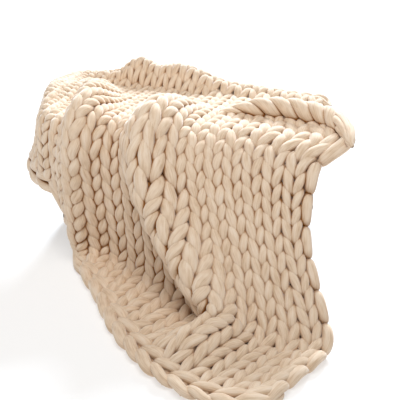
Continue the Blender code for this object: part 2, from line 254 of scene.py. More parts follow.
MAIN_FOLD = table(
    "course wale height left right",
    (1.0, 12.8, 0.0, 0.7, 0.9),
    (1.8, 12.8, 0.05, 0.7, 1.0),
    (2.6, 12.9, 0.08, 0.7, 1.1),
    (3.6, 13.0, 0.09, 0.7, 1.2),
    (5.0, 12.9, 0.10, 0.8, 1.2),
    (6.0, 12.5, 0.11, 0.9, 1.1),
    (8.0, 11.45, 0.12, 1.0, 1.1),
    (9.5, 10.7, 0.12, 1.0, 1.1),
    (11.0, 10.1, 0.115, 1.05, 1.1),
    (13.0, 9.9, 0.108, 1.05, 1.1),
    (15.0, 10.0, 0.102, 1.05, 1.2),
    (17.5, 10.2, 0.072, 1.1, 1.2),
    (21.0, 10.4, 0.0, 1.1, 1.2),
)
LEFT_FOLD = table(
    "course wale height left right",
    (0.0, 5.2, 0.0, 0.7, 1.0),
    (1.5, 5.2, 0.025, 0.7, 1.2),
    (4.0, 5.2, 0.042, 0.7, 1.2),
    (8.0, 5.3, 0.052, 0.8, 1.3),
    (10.5, 5.4, 0.075, 1.0, 1.4),
    (12.5, 5.1, 0.092, 1.2, 1.3),
    (14.5, 4.8, 0.092, 1.3, 1.2),
    (17.0, 4.5, 0.052, 1.3, 1.2),
    (20.0, 4.2, 0.0, 1.2, 1.2),
)
SELVEDGE_ROLL = table(
    "right back height width",
    (0.455, -0.05, 0.015, 0.040),
    (0.465, 0.03, 0.045, 0.045),
    (0.43, 0.13, 0.060, 0.045),
    (0.36, 0.21, 0.070, 0.045),
    (0.27, 0.245, 0.075, 0.045),
    (0.18, 0.25, 0.070, 0.045),
    (0.08, 0.24, 0.050, 0.045),
    (-0.02, 0.22, 0.020, 0.045),
    (-0.12, 0.20, 0.0, 0.050),
)
BACK_ROLL = table(
    "right back height width",
    (-0.55, 0.42, 0.0, 0.060),
    (-0.60, 0.34, 0.050, 0.085),
    (-0.64, 0.30, 0.042, 0.085),
    (-0.69, 0.34, 0.018, 0.085),
    (-0.73, 0.44, 0.020, 0.070),
    (-0.71, 0.53, 0.034, 0.060),
    (-0.62, 0.56, 0.042, 0.050),
    (-0.53, 0.56, 0.060, 0.045),
    (-0.465, 0.565, 0.135, 0.045),
    (-0.38, 0.55, 0.095, 0.045),
    (-0.28, 0.54, 0.118, 0.050),
    (-0.21, 0.53, 0.098, 0.050),
    (-0.10, 0.52, 0.055, 0.045),
    (0.0, 0.52, 0.045, 0.045),
    (0.12, 0.52, 0.030, 0.045),
    (0.28, 0.51, 0.020, 0.045),
)
ROLL_AXIS = table(
    "place right back up round",
    (0, -0.06, 0.215, 0.485, 0.004),
    (1, 0.03, 0.222, 0.505, 0.018),
    (2, 0.12, 0.228, 0.522, 0.029),
    (3, 0.21, 0.225, 0.527, 0.031),
    (4, 0.295, 0.205, 0.527, 0.031),
    (5, 0.37, 0.165, 0.527, 0.027),
    (6, 0.42, 0.10, 0.525, 0.022),
    (7, 0.452, 0.035, 0.518, 0.015),
    (8, 0.468, -0.03, 0.508, 0.006),
)
# Strands along the rim to the corner: from and to, in strands from the roll's end, and the angles there.
ROLL_RIM = (
    (-4.2, 0.0, -0.9, -0.2),
    (-3.6, 0.1, -0.3, 0.5),
    (-3.0, 0.0, 0.5, 1.2),
    (-2.2, 0.0, 1.3, 1.9),
)
ROLL_PITCH = 0.066
ROLL_PLUMP = 1.62
ROLL_END_SIZE = 0.45        # the share of their thickness that the strands keep where the roll ends
ROLL_FIRST, ROLL_LAST = -1.2, 3.5     # where the slanted strands begin and stop, in strands from its ends
ROLL_SLANT = 2.3            # how far a strand goes along the roll, in strands
ROLL_FROM, ROLL_TO = -1.5, 2.2        # angles from the crest, in radians
ROLL_TUCK = 0.012
RIM_RAISED, RIM_TUCK = 0.004, 0.014
UNDER_ROLL = 0.45           # how much of the roll's height the knitting under its strands has
ROLLS_ABOVE, ROLLS_WITHIN = ON_BENCH - 0.06, 0.05     # the rolls set in above this height, within so much
EAR_COURSE, EAR_BELOW, EAR_ABOVE = 19.0, 1.0, 2.4
EAR_WALES = 4.5
EAR_REACH = 0.095


def read(rows, columns, at):
    """A smooth curve through the rows of a table, one value for each named column."""
    names = list(rows)
    x = rows[names[0]]
    at = np.clip(np.asarray(at, float), x[0], x[-1])
    i = np.clip(np.searchsorted(x, at, side="right") - 1, 0, len(x) - 2)
    h = x[i + 1] - x[i]
    s = (at - x[i]) / h
    out = []
    for name in columns.split():
        v = rows[name]
        slope = np.gradient(v, x)
        start = (2 * s**3 - 3 * s**2 + 1) * v[i] + (s**3 - 2 * s**2 + s) * h * slope[i]
        end = (3 * s**2 - 2 * s**3) * v[i + 1] + (s**3 - s**2) * h * slope[i + 1]
        out.append(start + end)
    return np.stack(out, axis=-1)


def rounded_run(corners, reach, steps=24):
    """Straight runs between the corners, with rounded turns. Returns points and each turn's middle index."""
    s = np.linspace(0, 1, steps)[:, None]
    start = corners[0]
    runs = []
    middles = []
    done = 0
    for k in range(1, len(corners) - 1):
        turn = corners[k]
        before = corners[k - 1] - turn
        after = corners[k + 1] - turn
        size_before = max(np.linalg.norm(before), 1e-9)
        size_after = max(np.linalg.norm(after), 1e-9)
        cut = min(reach[k - 1], 0.48 * size_before, 0.48 * size_after)
        enter = turn + before / size_before * cut
        leave = turn + after / size_after * cut
        runs.append((start + (enter - start) * s)[:-1])
        runs.append(((1 - s) ** 2 * enter + 2 * s * (1 - s) * turn + s**2 * leave)[:-1])
        middles.append(done + (steps - 1) + (steps - 1) // 2)
        done += 2 * (steps - 1)
        start = leave
    runs.append(start + (corners[-1] - start) * s)
    return np.concatenate(runs), middles


def lengths_along(path):
    """The length from a path's first point to each of its points."""
    return np.concatenate([[0.0], np.cumsum(np.linalg.norm(np.diff(path, axis=0), axis=-1))])


def read_path(at, along, path):
    """The path's points at the wanted lengths along it."""
    return np.stack([np.interp(at, along, path[:, k]) for k in range(3)], axis=-1)


def smooth_drape(wales, courses):
    """The throw without its folds: five lines across it, joined wale by wale."""
    lines = [read(rows, "right back up", wales) for rows in (HEM, FOOT, HANG, EDGE, BACK)]
    count = read(COUNT, "foot edge", wales)
    points = np.zeros((len(wales), len(courses), 3))
    for i in range(len(wales)):
        run, middles = rounded_run([line[i] for line in lines], (TURN_FOOT, TURN_HANG, TURN_EDGE))
        along = lengths_along(run)
        known_courses = [0, count[i, 0], count[i, 1], COURSES]
        known_lengths = [0, along[middles[0]], along[middles[2]], along[-1]]
        points[i] = read_path(np.interp(courses, known_courses, known_lengths), along, run)
    return points


def fold_height(rows, wales, courses):
    """How far a fold lifts the cloth: steep on its left side and easy on its right."""
    crest, height, left, right = np.moveaxis(read(rows, "wale height left right", courses), -1, 0)
    off = wales[:, None] - crest[None, :]
    steep = np.exp(-np.abs(off / left) ** 3)
    easy = np.exp(-((off / right) ** 2))
    return np.maximum(height, 0) * np.where(off < 0, steep, easy)


def roll_height(rows, plan):
    """How far a roll along a path in plan lifts the cloth."""
    path = np.stack([rows["right"], rows["back"]], axis=-1)
    best = np.zeros(plan.shape[:-1])
    for k in range(len(path) - 1):
        step = path[k + 1] - path[k]
        s = np.clip(((plan - path[k]) @ step) / (step @ step), 0, 1)
        away = np.linalg.norm(plan - path[k] - s[..., None] * step, axis=-1)
        height = rows["height"][k] + s * (rows["height"][k + 1] - rows["height"][k])
        width = rows["width"][k] + s * (rows["width"][k + 1] - rows["width"][k])
        best = np.maximum(best, height * np.exp(-((away / width) ** 2)))
    return best


def unit(vectors):
    return vectors / np.maximum(np.linalg.norm(vectors, axis=-1, keepdims=True), 1e-9)


def grid_normals(points):
    return unit(np.cross(np.gradient(points, axis=0), np.gradient(points, axis=1)))


def averaged(grid, passes):
    """The grid with its inner points drawn towards their neighbours, again for each pass."""
    grid = grid.copy()
    for _ in range(passes):
        mean = (grid[:-2, 1:-1] + grid[2:, 1:-1] + grid[1:-1, :-2] + grid[1:-1, 2:]) / 4
        grid[1:-1, 1:-1] = (grid[1:-1, 1:-1] + mean) / 2
    return grid


def draped_throw(wales, courses):
    """The middle of the cloth's thickness, with every fold and roll."""
    points = smooth_drape(wales, courses)
    normal = unit(averaged(grid_normals(points), NORMAL_PASSES))
    folds = fold_height(MAIN_FOLD, wales, courses) + fold_height(LEFT_FOLD, wales, courses)
    points = points + normal * folds[..., None]
    length = np.where(courses < EAR_COURSE, EAR_BELOW, EAR_ABOVE)
    along = np.exp(-(((courses - EAR_COURSE) / length) ** 2))
    across = np.clip((wales - WALES + EAR_WALES) / EAR_WALES, 0, 1) ** 1.5
    points[..., 0] += EAR_REACH * across[:, None] * along[None, :]
    on_top = np.clip((points[..., 2] - ROLLS_ABOVE) / ROLLS_WITHIN, 0, 1)
    plan = points[..., :2]
    rolls = np.maximum(UNDER_ROLL * roll_height(SELVEDGE_ROLL, plan), roll_height(BACK_ROLL, plan))
    points[..., 2] += on_top * rolls
    return points


def bench_distance(points):
    """How far each point is outside the bench, or less than nothing inside it."""
    left = BENCH_LEFT + ROUND_END
    right = BENCH_LEFT + BENCH_LENGTH - SQUARE_END
    middle = BENCH_DEPTH / 2
    x, y = points[..., 0], points[..., 1]
    over_y = np.abs(y - middle) - (middle - SQUARE_END)
    over_x = x - right
    square = np.hypot(np.maximum(over_x, 0), np.maximum(over_y, 0))
    square += np.minimum(np.maximum(over_x, over_y), 0)
    rounded = np.hypot(x - left, y - middle) - ROUND_END
    plan = np.where(x < left, rounded, square - SQUARE_END)
    side = plan + CUSHION_ROUND
    up = points[..., 2] - (BENCH_TOP - CUSHION_ROUND)
    outside = np.hypot(np.maximum(side, 0), np.maximum(up, 0))
    return outside + np.minimum(np.maximum(side, up), 0) - CUSHION_ROUND


def clear_of_bench(points, edge_gap=EDGE_CLEARANCE):
    """How far each point has to move so that the cloth lies on the bench and clears its edges."""
    small = 0.0005
    distance = bench_distance(points)
    slope = np.zeros(points.shape)
    for axis in range(3):
        step = np.zeros(3)
        step[axis] = small
        slope[..., axis] = (bench_distance(points + step) - bench_distance(points - step)) / (2 * small)
    slope = unit(slope)
    flat = np.clip((slope[..., 2] - 0.9) / 0.099, 0, 1)
    wanted = edge_gap + (REST_GAP - edge_gap) * flat
    return slope * np.maximum(wanted - distance, 0)[..., None]


def finer(grid, count):
    """The grid at evenly spaced places along its first axis, on a smooth curve through its rows."""
    at = np.linspace(0, len(grid) - 1, count)
    i = np.clip(at.astype(int), 0, len(grid) - 2)
    t = (at - i).reshape((-1,) + (1,) * (grid.ndim - 1))
    before, a, b = grid[np.maximum(i - 1, 0)], grid[i], grid[i + 1]
    after = grid[np.minimum(i + 2, len(grid) - 1)]
    curve = 2 * a + (b - before) * t + (2 * before - 5 * a + 4 * b - after) * t**2
    return 0.5 * (curve + (3 * a - before - 3 * b + after) * t**3)


class Cloth:
    """The middle of the draped cloth and its normals, read at any wale and course."""

    FINE = 6            # grid steps to a wale and to a course
    PAST = 1            # how far the grid goes past the edges, in wales and courses
    EVEN_OVER = 4.0     # wales over which the spacing is evened
    MIDDLE_PASSES, SLOPE_PASSES, SIZE_PASSES = 4, 30, 10

    def __init__(self):
        wales = np.linspace(0, WALES, GRID_ACROSS + 1)
        courses = np.linspace(0, COURSES, GRID_ALONG + 1)
        coarse = averaged(draped_throw(wales, courses), SMOOTHING_PASSES)
        middle = finer(coarse, WALES * self.FINE + 1)
        middle = finer(middle.swapaxes(0, 1), COURSES * self.FINE + 1).swapaxes(0, 1)
        middle = self.evened(averaged(middle, self.MIDDLE_PASSES))
        normal = unit(averaged(grid_normals(middle), self.SLOPE_PASSES)[1:-1, 1:-1])
        normal = np.pad(normal, ((1, 1), (1, 1), (0, 0)), mode="edge")
        reach = LOOP_DEPTH + YARN_DEEP
        for _ in range(2):
            middle += clear_of_bench(middle - normal * reach)
        width = np.linalg.norm(np.gradient(middle, axis=0), axis=-1) * self.FINE / WALE_WIDTH
        height = np.linalg.norm(np.gradient(middle, axis=1), axis=-1) * self.FINE / COURSE_HEIGHT
        wider, taller = np.clip(width, *STRETCHES[0]), np.clip(height, *STRETCHES[1])
        size = averaged(wider**WIDTH_SHARE * taller ** (1 - WIDTH_SHARE), self.SIZE_PASSES)
        past = self.PAST * self.FINE
        self.size = np.pad(size[1:-1, 1:-1], past + 1, mode="edge")[..., None]
        self.middle = self.extended(middle, past)
        self.normal = np.pad(normal, ((past, past), (past, past), (0, 0)), mode="edge")

    def evened(self, grid):
        """The wales drawn along each course so that their spacing changes slowly over a fold."""
        reach = int(self.EVEN_OVER * self.FINE)
        weight = np.exp(-np.linspace(-1.6, 1.6, 2 * reach + 1) ** 2)
        weight /= weight.sum()
        out = grid.copy()
        for j in range(grid.shape[1]):
            line = grid[:, j]
            steps = np.linalg.norm(np.diff(line, axis=0), axis=1)
            slow = np.convolve(np.pad(steps, reach, mode="reflect"), weight, mode="valid")
            along = lengths_along(line)
            wanted = np.concatenate([[0.0], np.cumsum(slow)])
            out[:, j] = read_path(wanted * (along[-1] / wanted[-1]), along, line)
        return out

    def extended(self, grid, past):
        """The grid carried straight on past its border."""
        steps = np.arange(1, past + 1)
        low = grid[:1] + (grid[:1] - grid[1:2]) * steps[::-1, None, None]
        high = grid[-1:] + (grid[-1:] - grid[-2:-1]) * steps[:, None, None]
        grid = np.concatenate([low, grid, high], axis=0)
        low = grid[:, :1] + (grid[:, :1] - grid[:, 1:2]) * steps[None, ::-1, None]
        high = grid[:, -1:] + (grid[:, -1:] - grid[:, -2:-1]) * steps[None, :, None]
        return np.concatenate([low, grid, high], axis=1)

    def at(self, wale, course):
        """Point, normal and the stitches' size at each wale and course."""
        a = (np.asarray(wale, float) + self.PAST) * self.FINE
        b = (np.asarray(course, float) + self.PAST) * self.FINE
        a = np.clip(a, 0, self.middle.shape[0] - 1.001)
        b = np.clip(b, 0, self.middle.shape[1] - 1.001)
        i, j = a.astype(int), b.astype(int)
        u, v = (a - i)[..., None], (b - j)[..., None]
        found = []
        for grid in (self.middle, self.normal, self.size):
            low = grid[i, j] * (1 - v) + grid[i, j + 1] * v
            high = grid[i + 1, j] * (1 - v) + grid[i + 1, j + 1] * v
            found.append(low * (1 - u) + high * u)
        return found[0], unit(found[1]), found[2][..., 0]


def ring_faces(rows, count):
    """Quads between rows of points that each go once round."""
    i, j = np.meshgrid(np.arange(rows - 1), np.arange(count), indexing="ij")
    k = (j + 1) % count
    corners = [i * count + j, i * count + k, (i + 1) * count + k, (i + 1) * count + j]
    return np.stack(corners, axis=-1).reshape(-1, 4).tolist()


def end_caps(rows, count):
    """The faces that close the first row and the last."""
    return [list(range(count))[::-1], list(range((rows - 1) * count, rows * count))]


def mesh_object(name, points, faces, finish):
    """A smoothly shaded object, its points moved from the datum to the frame's own place."""
    mesh = bpy.data.meshes.new(name)
    mesh.from_pydata((points + np.array([DATUM[0], DATUM[1], 0.0])).tolist(), [], faces)
    mesh.polygons.foreach_set("use_smooth", [True] * len(mesh.polygons))
    mesh.update()
    made = bpy.data.objects.new(name, mesh)
    bpy.context.scene.collection.objects.link(made)
    made.data.materials.append(finish)
    return made


def add_attribute(mesh, name, values, domain="POINT"):
    """A value or a vector at each point or corner, for the materials to read."""
    kind, key = ("FLOAT_VECTOR", "vector") if values.ndim > 1 else ("FLOAT", "value")
    mesh.attributes.new(name, kind, domain).data.foreach_set(key, values.ravel())


class Roll:
    """The rolled selvedge as a tapering tube, read at a place along it and an angle from its crest.

    Places are in strands from the left end.
    """

    def __init__(self):
        places = np.linspace(0, ROLL_AXIS["place"][-1], 240)
        rows = read(ROLL_AXIS, "right back up round", places)
        self.axis = rows[:, :3]
        self.round = rows[:, 3]
        self.along = lengths_along(self.axis) / ROLL_PITCH
        run = unit(np.gradient(self.axis, axis=0))
        self.front = unit(np.stack([run[:, 1], -run[:, 0], np.zeros(len(run))], axis=-1))
        self.length = self.along[-1]

    def at(self, place, angle):
        """Point, outward direction and the strands' size at each place and angle."""
        axis = read_path(place, self.along, self.axis)
        front = unit(read_path(place, self.along, self.front))
        reach = np.interp(place, self.along, self.round)
        up = np.array([0.0, 0.0, 1.0])
        out = np.cos(angle)[:, None] * up + np.sin(angle)[:, None] * front
        size = ROLL_END_SIZE + (1 - ROLL_END_SIZE) * np.clip(reach / self.round.max(), 0, 1)
        return axis + out * reach[:, None], out, size


class Strands:
    """Tubes of yarn gathered into one mesh, with values at each point for the yarn's fibre pattern and its
    painted shade.
    """

    def __init__(self, cloth):
        self.cloth = cloth
        self.points = []
        self.faces = []
        self.values = {"fibre": [], "hollow": [], "upward": []}
        self.count = 0
        self.length = 0.0

    def add(self, wale, course, depth, plump, shaded=1.0):
        """A strand over the cloth, at depths in front of the cloth's middle. Plump scales its thickness."""
        base, normal, size = self.cloth.at(wale, course)
        plump = plump * size
        path = base + normal * depth[:, None]
        along = unit(np.gradient(path, axis=0))
        side = unit(np.cross(along, normal))
        front = unit(np.cross(side, along))
        turn = 2 * np.pi * np.arange(SIDES) / SIDES
        cos, sin = np.cos(turn), np.sin(turn)
        wide = side[:, None] * cos[None, :, None] * (YARN_WIDE * plump)[:, None, None]
        deep = front[:, None] * sin[None, :, None] * (YARN_DEEP * plump)[:, None, None]
        ring = path[:, None] + wide + deep
        run = self.length + lengths_along(path)
        self.length = run[-1] + FIBRE_SHIFT
        n = len(path)
        fibre = np.zeros((n, SIDES, 3))
        fibre[..., 0] = run[:, None]
        fibre[..., 1] = cos[None] * YARN_WIDE
        fibre[..., 2] = sin[None] * YARN_DEEP
        height = ((ring - base[:, None]) * normal[:, None]).sum(-1) / (LOOP_DEPTH + YARN_DEEP)
        self.points.append(ring.reshape(-1, 3))
        self.values["fibre"].append(fibre.reshape(-1, 3))
        # Hollow: how near a point is to the cloth's middle, where the yarn's painted shade goes.
        self.values["hollow"].append(shaded * (1 - np.clip(np.abs(height), 0, 1).ravel()))
        self.values["upward"].append(np.repeat(np.maximum(normal[:, 2], 0), SIDES))
        faces = ring_faces(n, SIDES) + end_caps(n, SIDES)
        self.faces += [[corner + self.count for corner in face] for face in faces]
        self.count += n * SIDES

    def as_object(self, name, finish):
        points = np.concatenate(self.points)
        points = points + clear_of_bench(points, STRAND_CLEARANCE)
        points[:, 2] = np.maximum(points[:, 2], ABOVE_FLOOR)
        made = mesh_object(name, points, self.faces, finish)
        for attribute, values in self.values.items():
            add_attribute(made.data, attribute, np.concatenate(values))
        return made


def course_path(course):
    """One course of loops from left to right: wale, course, depth and thickness along the yarn."""
    turns = np.linspace(-math.pi, math.pi * (2 * WALES - 1), STEPS_PER_LOOP * WALES + 1)
    wale = 0.5 + (turns + LOOP_SWAY * np.sin(2 * turns)) / (2 * math.pi)
    wale = EDGE_ROOM + wale * (WALES - 2 * EDGE_ROOM) / WALES
    height = course + LOOP_REACH * np.cos(turns)
    depth = -LOOP_DEPTH * np.cos(2 * turns)
    plump = LOOP_PLUMP - LOOP_PINCH * np.cos(2 * turns)
    return wale, height, depth, plump


def selvedge_turn(course, right):
    """The big loop at the end of a course, where the yarn goes on into the next one."""
    s = np.linspace(0, 1, 40)[1:-1]
    bulge = np.sin(np.pi * s)
    out = SELVEDGE_OUT * (1 - (2 * s - 1) ** 4)
    wale = WALES - EDGE_ROOM + out if right else EDGE_ROOM - out
    height = course - LOOP_REACH + s - SELVEDGE_BOW * np.sin(2 * np.pi * s)
    depth = LOOP_DEPTH * (-1 + SELVEDGE_RISE * bulge**2) + SELVEDGE_LEAN * (2 * s - 1) * bulge
    plump = SELVEDGE_THIN + SELVEDGE_SWELL * bulge**0.7
    return wale, height, depth, plump


def body_strands(cloth, rng):
    """The body of the knitting in groups of courses, the yarn going back and forth between the selvedges."""
    groups = []
    half_wales = np.linspace(0, WALES, 2 * WALES + 1)
    whole_wales = np.arange(WALES + 1)
    for n, level in enumerate(np.linspace(FIRST_COURSE, LAST_COURSE, BODY_COURSES)):
        if n % COURSES_IN_PIECE == 0:
            groups.append(Strands(cloth))
        wale, height, depth, plump = course_path(level)
        loose = UNEVEN_PLUMP * np.interp(wale, half_wales, rng.normal(size=len(half_wales)))
        plump = plump * (1 + np.clip(loose, -MOST_UNEVEN, MOST_UNEVEN))
        height = height + UNEVEN_HEIGHT * np.interp(wale, whole_wales, rng.normal(size=len(whole_wales)))
        path = (wale, height, depth, plump)
        right = n % 2 == 0
        if not right:
            path = [values[::-1] for values in path]
        if n < BODY_COURSES - 1:
            path = [np.concatenate(pair) for pair in zip(path, selvedge_turn(level, right))]
        groups[-1].add(*path)
    return groups


def edge_chain(cloth, course, rng):
    """A chain of loops along an edge of the knitting, a link for each wale."""
    strands = Strands(cloth)
    turns = np.linspace(-math.pi * LINK_TURN, math.pi * LINK_TURN, 40)
    lean = (turns + LOOP_SWAY * np.sin(2 * turns)) / (2 * math.pi)
    height = course + lean * LINK_WIDTH
    depth = -LOOP_DEPTH * np.cos(2 * turns)
    for link in range(WALES):
        wale = CHAIN_ROOM + (link + 0.5 + LINK_REACH * np.cos(turns)) * (WALES - 2 * CHAIN_ROOM) / WALES
        plump = (LINK_PLUMP - LINK_PINCH * np.cos(2 * turns)) * (1 + UNEVEN_LINK * rng.normal())
        strands.add(wale, height, depth, plump)
    return strands


def swelling(t, least, power):
    """A strand's thickness along it, the least at its ends and full in its middle."""
    return least + (1 - least) * np.sin(np.pi * t) ** power


def roll_strands(rng):
    """The strands of the rolled selvedge, slanted over it from the back of its crest down its front."""
    roll = Roll()
    strands = Strands(roll)
    t = np.linspace(0, 1, 44)
    for start in np.arange(ROLL_FIRST, roll.length - ROLL_LAST, 1.0):
        angle = ROLL_FROM + (ROLL_TO - ROLL_FROM) * t
        depth = -ROLL_TUCK * (2 * t - 1) ** 4
        plump = ROLL_PLUMP * swelling(t, 0.72, 0.6) * (1 + UNEVEN_ROLL * rng.normal())
        strands.add(start + ROLL_SLANT * t, angle, depth, plump, shaded=0.0)
    for start, end, high, low in ROLL_RIM:
        place = roll.length + start + (end - start) * t
        depth = RIM_RAISED - RIM_TUCK * (2 * t - 1) ** 6
        strands.add(place, high + (low - high) * t, depth, swelling(t, 0.62, 0.5), shaded=0.0)
    return strands


class Nodes:
    """Short hand for building a material's nodes."""

    def __init__(self, name):
        self.made = bpy.data.materials.new(name)
        self.made.use_nodes = True
        self.tree = self.made.node_tree
        self.shader = self.tree.nodes["Principled BSDF"]

    def add(self, kind, **values):
        """A node with its settings, and its inputs where no setting has that name."""
        node = self.tree.nodes.new(kind)
        for key, value in values.items():
            if hasattr(node, key):
                setattr(node, key, value)
            else:
                node.inputs[key.replace("_", " ")].default_value = value
        return node

    def link(self, source, target):
        self.tree.links.new(source, target)

    def attribute(self, name, output="Fac"):
        return self.add("ShaderNodeAttribute", attribute_name=name).outputs[output]

    def object_place(self):
        return self.add("ShaderNodeTexCoord").outputs["Object"]

    def stretched(self, place, scale):
        node = self.add("ShaderNodeMapping", Scale=scale)
        self.link(place, node.inputs["Vector"])
        return node.outputs["Vector"]

    def noise(self, place, scale, detail, roughness):
        node = self.add("ShaderNodeTexNoise", Scale=scale, Detail=detail, Roughness=roughness)
        self.link(place, node.inputs["Vector"])
        return node.outputs["Fac"]

    def ranged(self, value, **limits):
        node = self.add("ShaderNodeMapRange", **limits)
        self.link(value, node.inputs["Value"])
        return node.outputs["Result"]

    def closed_in(self, reach, open_from, shut_at):
        """0 in the open and 1 where other surfaces within reach close a point in."""
        node = self.add("ShaderNodeAmbientOcclusion", samples=8, Distance=reach)
        limits = {"From_Min": open_from, "From_Max": shut_at}
        return self.ranged(node.outputs["AO"], interpolation_type="SMOOTHSTEP", **limits)

    def both(self, operation, first, second):
        node = self.add("ShaderNodeMath", operation=operation)
        self.link(first, node.inputs[0])
        self.link(second, node.inputs[1])
        return node.outputs[0]

    def average(self, first, second):
        node = self.add("ShaderNodeMix", data_type="FLOAT")
        node.inputs[0].default_value = 0.5
        self.link(first, node.inputs[2])
        self.link(second, node.inputs[3])
        return node.outputs[0]

    def toned(self, share, colour, tone, blend="MIX"):
        """The colour with a share of another tone mixed in, or multiplied by it."""
        node = self.add("ShaderNodeMix", data_type="RGBA", blend_type=blend)
        node.inputs[7].default_value = (*tone, 1.0)
        self.link(share, node.inputs[0])
        self.link(colour, node.inputs[6])
        return node.outputs[2]

    def ramp(self, factor, stops):
        node = self.tree.nodes.new("ShaderNodeValToRGB")
        while len(node.color_ramp.elements) < len(stops):
            node.color_ramp.elements.new(0.5)
        for element, (place, colour) in zip(node.color_ramp.elements, stops):
            element.position = place
            element.color = (*colour, 1.0)
        self.link(factor, node.inputs["Fac"])
        return node.outputs["Color"]

    def finished(self, colour, height, strength, distance, **surface):
        """The material with its colour, its bump and the shader's constants."""
        self.link(colour, self.shader.inputs["Base Color"])
        bump = self.add("ShaderNodeBump", Strength=strength, Distance=distance)
        self.link(height, bump.inputs["Height"])
        self.link(bump.outputs["Normal"], self.shader.inputs["Normal"])
        for key, value in surface.items():
            self.shader.inputs[key.replace("_", " ")].default_value = value
        return self.made


def yarn_material(name):
    """Soft roving: streaks of fibre and slow changes of tone, with painted shade where the throw's folds
    close it in, and a warm painted shade between strands that is lighter where the throw lies flat.
    """
    n = Nodes(name)
    fibre = n.attribute("fibre", "Vector")
    streaks = n.noise(n.stretched(fibre, (16.0, 520.0, 520.0)), 1.0, 3.0, 0.6)
    slow = n.noise(n.stretched(fibre, (22.0, 90.0, 90.0)), 1.0, 2.0, 0.5)
    colour = n.ramp(n.average(streaks, slow), [(0.36, YARN_DARK), (0.49, YARN_MIDDLE), (0.62, YARN_LIGHT)])
    # Painted shade in the valleys between the throw's folds.
    colour = n.toned(n.closed_in(VALLEY_SHADE_REACH, 0.85, 0.15), colour, VALLEY_PAINTED_SHADE, "MULTIPLY")
    # Painted shade between strands: near the knit's middle and where another strand is near, less of it
    # where the throw lies flat.
    inside = n.ranged(
        n.attribute("hollow"), interpolation_type="SMOOTHSTEP", From_Min=0.20, From_Max=0.90, To_Max=0.5,
    )
    deep = n.both("MAXIMUM", inside, n.closed_in(CREASE_SHADE_REACH, 0.97, 0.52))
    shade_shown = n.ranged(
        n.attribute("upward"), From_Min=0.55, From_Max=0.95, To_Min=1.0, To_Max=CREASE_SHADE_ON_FLAT,
    )
    colour = n.toned(n.both("MULTIPLY", deep, shade_shown), colour, YARN_CREASE_SHADE)
    return n.finished(
        colour, streaks, 0.7, 0.0012,
        Roughness=0.88, Specular_IOR_Level=0.25, Sheen_Weight=0.6, Sheen_Roughness=0.35,
    )


def shaded_core_material(name):
    """Painted shade behind the stitches, seen through their holes: dark brown where the throw hangs, paler
    where it lies flat and more light gets in.
    """
    n = Nodes(name)
    mottle = n.noise(n.object_place(), 140.0, 4.0, 0.7)
    flat = n.ranged(n.attribute("upward"), From_Min=0.70, From_Max=0.97)
    colour = n.toned(flat, n.ramp(mottle, [(0.35, CORE_SHADE_DARK), (0.65, CORE_SHADE_LIGHT)]), CORE_FLAT)
    return n.finished(colour, mottle, 0.6, 0.002, Roughness=0.95, Specular_IOR_Level=0.15)


def woven_material(name, base, thread, laid=False):
    """Plain weave: crossed threads with a slubby shade. A laid weave follows the cover's own directions."""
    n = Nodes(name)
    place = n.object_place()
    threads = n.attribute("weave", "Vector") if laid else place
    shades = []
    for bands in ("X", "Y" if laid else "Z"):
        scale = 1.0 / thread / WAVES_IN_UNIT
        wave = n.add("ShaderNodeTexWave", bands_direction=bands, Scale=scale, Distortion=0.8, Detail=2.0)
        n.link(threads, wave.inputs["Vector"])
        shades.append(wave.outputs["Fac"])
    slub = n.noise(place, 90.0, 4.0, 0.6)
    mixed = n.both("ADD", n.both("MULTIPLY", *shades), slub)
    dark = tuple(c * 0.72 for c in base)
    light = tuple(min(1.0, c * 1.18) for c in base)
    colour = n.ramp(mixed, [(0.30, dark), (0.62, base), (0.95, light)])
    return n.finished(colour, mixed, 0.4, 0.0008, Roughness=0.85, Sheen_Weight=0.15)


def wood_material(name):
    """Dark stained wood with a long grain."""
    n = Nodes(name)
    grain = n.noise(n.stretched(n.object_place(), (2.0, 14.0, 60.0)), 3.0, 8.0, 0.65)
    colour = n.ramp(grain, [(0.30, WOOD_DARK), (0.55, WOOD_MIDDLE), (0.80, WOOD_LIGHT)])
    return n.finished(colour, grain, 0.25, 0.0005, Roughness=0.45)


def shaded_core_sheet(cloth, finish):
    """The core of the knitting, a thin sheet on the drape inside the loops' thickness, coloured with painted
    shade for the holes between stitches.
    """
    wales = np.linspace(CORE_WALES_IN, WALES - CORE_WALES_IN, 2 * WALES + 1)
    courses = np.linspace(CORE_COURSES_IN, COURSES - CORE_COURSES_IN, 2 * COURSES + 1)
    points, normal, _ = cloth.at(*np.meshgrid(wales, courses, indexing="ij"))
    points = points - normal * CORE_BEHIND
    points[..., 2] = np.maximum(points[..., 2], CORE_LOWEST)
    i, j = np.meshgrid(np.arange(len(wales) - 1), np.arange(len(courses) - 1), indexing="ij")
    a = i * len(courses) + j
    faces = np.stack([a, a + len(courses), a + len(courses) + 1, a + 1], axis=-1).reshape(-1, 4)
    made = mesh_object("knit_shaded_core", points.reshape(-1, 3), faces.tolist(), finish)
    add_attribute(made.data, "upward", np.maximum(normal[..., 2], 0).ravel())
    return made


